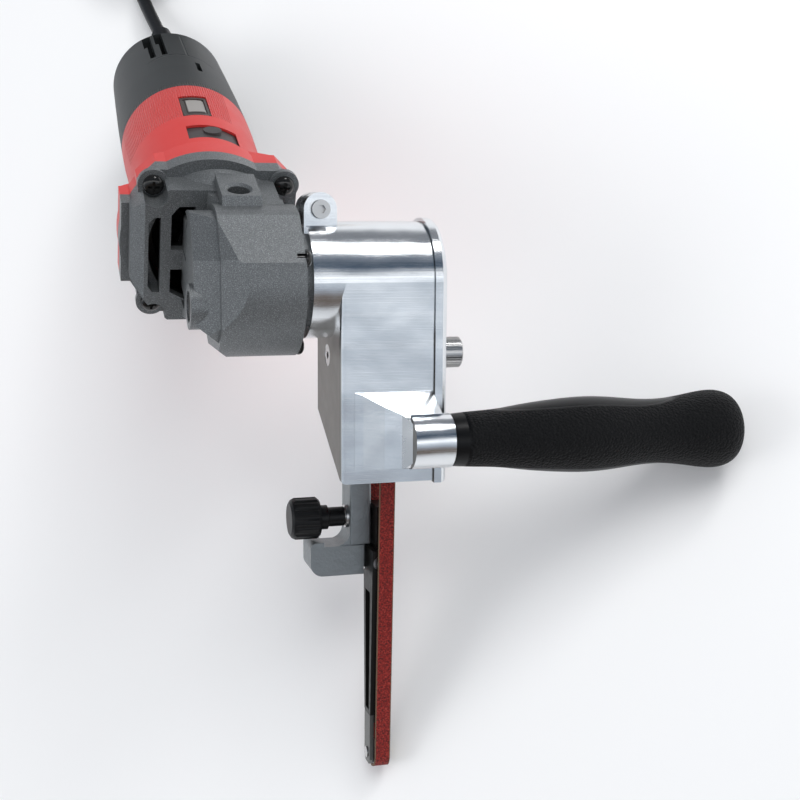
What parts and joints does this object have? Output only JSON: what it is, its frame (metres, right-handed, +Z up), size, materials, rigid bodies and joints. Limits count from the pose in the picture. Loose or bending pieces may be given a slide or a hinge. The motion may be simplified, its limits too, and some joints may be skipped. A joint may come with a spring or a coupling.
{
  "type": "handheld belt sander",
  "caption": "Handheld narrow-belt sander: an angle-grinder motor unit with a clamp-on belt head, sprung belt arm, tracking knob and side grip.",
  "frame": {"origin": "centre of the bounding box of the tool, on the table it lies on; the cord is left out of the box", "axes": "+Z up from the table; the belt arm points along -Y as seen from above, and the side grip is on the +X side"},
  "size_m": [0.3931, 0.4855, 0.148],
  "materials": {
    "charcoal_plastic": "fine moulded texture",
    "red_plastic": "moulded satin",
    "cast_grey": "sand-textured silver paint on die casting",
    "polished_aluminium": "buffed casting",
    "cast_aluminium": "as-cast satin",
    "steel": "machined",
    "black_steel": "black oxide",
    "black_arm": "semi-gloss black enamel",
    "copper": "enamelled copper wire",
    "carbon": "pressed graphite",
    "brass": "stamped",
    "black_plastic": "moulded",
    "rubber": "pebbled soft grip",
    "cord_rubber": "smooth jacket",
    "abrasive": "aluminium-oxide grit on cloth",
    "switch_grey": "moulded"
  },
  "bodies": {
    "motor_unit": {"motor_housing": "red_plastic", "rear_cover": "charcoal_plastic", "gear_case": "cast_grey", "bearing_plate": "cast_grey", "gear_case_screws": "black_steel", "bearing_plate_screws": "black_steel", "stator_core": "steel", "stator_coils": "copper", "brush_holders": "brass", "carbon_brushes": "carbon", "brush_springs": "steel", "brush_covers": "switch_grey", "motor_bearings": "steel", "rear_bearing_bridge": "black_plastic", "air_baffle": "black_plastic", "switch_block": "black_plastic", "cord_clamp": "black_plastic", "rear_cover_screws": "black_steel", "spindle_bearings": "steel", "lock_spring": "steel", "cord_boot": "cord_rubber", "power_cord": "cord_rubber", "cord_coil": "cord_rubber", "cord_tail": "cord_rubber", "power_plug": "cord_rubber", "plug_pins": "brass"},
    "rotor": {"armature_shaft": "steel", "armature_core": "steel", "armature_windings": "copper", "commutator": "copper", "cooling_fan": "black_plastic", "pinion_gear": "steel"},
    "spindle": {"spindle_shaft": "steel", "bevel_gear": "steel", "drive_pulley": "cast_aluminium", "pulley_nut": "steel"},
    "spindle_lock": {"lock_button": "black_plastic"},
    "power_switch": {"switch_slider": "switch_grey"},
    "sander_head": {"head_housing": "polished_aluminium", "clamp_screw": "steel", "cover_stud": "steel", "guide_rod": "steel", "tension_spring": "steel", "grip_stud": "steel", "grip_core": "black_plastic", "side_grip": "rubber", "sanding_belt": "abrasive"},
    "side_cover": {"side_cover": "polished_aluminium"},
    "cover_nut": {"cover_nut": "steel"},
    "tension_slider": {"tension_slider": "cast_aluminium", "arm_pivot_pin": "steel", "tracking_washer": "steel"},
    "belt_arm": {"belt_arm": "black_arm", "idler_bracket": "steel", "idler_axle": "steel", "platen": "steel"},
    "idler": {"idler_pulley": "cast_aluminium", "idler_bush": "brass"},
    "tracking_knob": {"tracking_knob": "black_plastic", "tracking_screw": "steel"}
  },
  "joints": [
    {"name": "rotor_spin", "type": "hinge", "parent": "motor_unit", "child": "rotor", "pos_m": [-0.01772, 0.00235, 0.12355], "axis": [-0.58, 0.6677, -0.4667], "continuous": true},
    {"name": "spindle_spin", "type": "hinge", "parent": "motor_unit", "child": "spindle", "pos_m": [-0.0009, 0.00817, 0.11097], "axis": [0.7718, 0.267, -0.577], "continuous": true},
    {"name": "head_swivel", "type": "hinge", "parent": "motor_unit", "child": "sander_head", "pos_m": [-0.0009, 0.00817, 0.11097], "axis": [0.7718, 0.267, -0.577], "range_deg": [-25, 75]},
    {"name": "lock_press", "type": "slide", "parent": "motor_unit", "child": "spindle_lock", "axis": [0.7718, 0.267, -0.577], "range_m": [0, 0.0035], "stiffness_N_per_m": 600, "springref_m": -0.002},
    {"name": "switch_slide", "type": "slide", "parent": "motor_unit", "child": "power_switch", "axis": [0.58, -0.6677, 0.4667], "range_m": [0, 0.004]},
    {"name": "cover_release", "type": "slide", "parent": "sander_head", "child": "side_cover", "axis": [0.7718, 0.267, -0.577], "range_m": [0, 0.01]},
    {"name": "nut_turn", "type": "hinge", "parent": "side_cover", "child": "cover_nut", "pos_m": [-0.00121, -0.01853, 0.09819], "axis": [0.7718, 0.267, -0.577], "range_deg": [0, 1440]},
    {"name": "tension_slide", "type": "slide", "parent": "sander_head", "child": "tension_slider", "axis": [0, 0.9075, 0.42], "range_m": [0, 0.01], "stiffness_N_per_m": 2500, "springref_m": -0.01},
    {"name": "tracking_turn", "type": "hinge", "parent": "tension_slider", "child": "tracking_knob", "pos_m": [-0.00471, -0.07701, 0.06645], "axis": [0.7718, 0.267, -0.577], "range_deg": [-180, 180]},
    {"name": "tracking_tilt", "type": "hinge", "parent": "tension_slider", "child": "belt_arm", "pos_m": [0.02797, -0.08439, 0.04193], "axis": [-0.6358, 0.3242, -0.7005], "range_deg": [-1.5, 1.5]},
    {"name": "idler_spin", "type": "hinge", "parent": "belt_arm", "child": "idler", "pos_m": [0.0289, -0.15849, 0.0068], "axis": [0.7718, 0.267, -0.577], "continuous": true}
  ],
  "couplings": [
    {"joint": "spindle_spin", "follows": "rotor_spin", "ratio": -0.31579},
    {"joint": "idler_spin", "follows": "rotor_spin", "ratio": -0.86353},
    {"joint": "tracking_tilt", "follows": "tracking_turn", "ratio": 0.0083333}
  ]
}
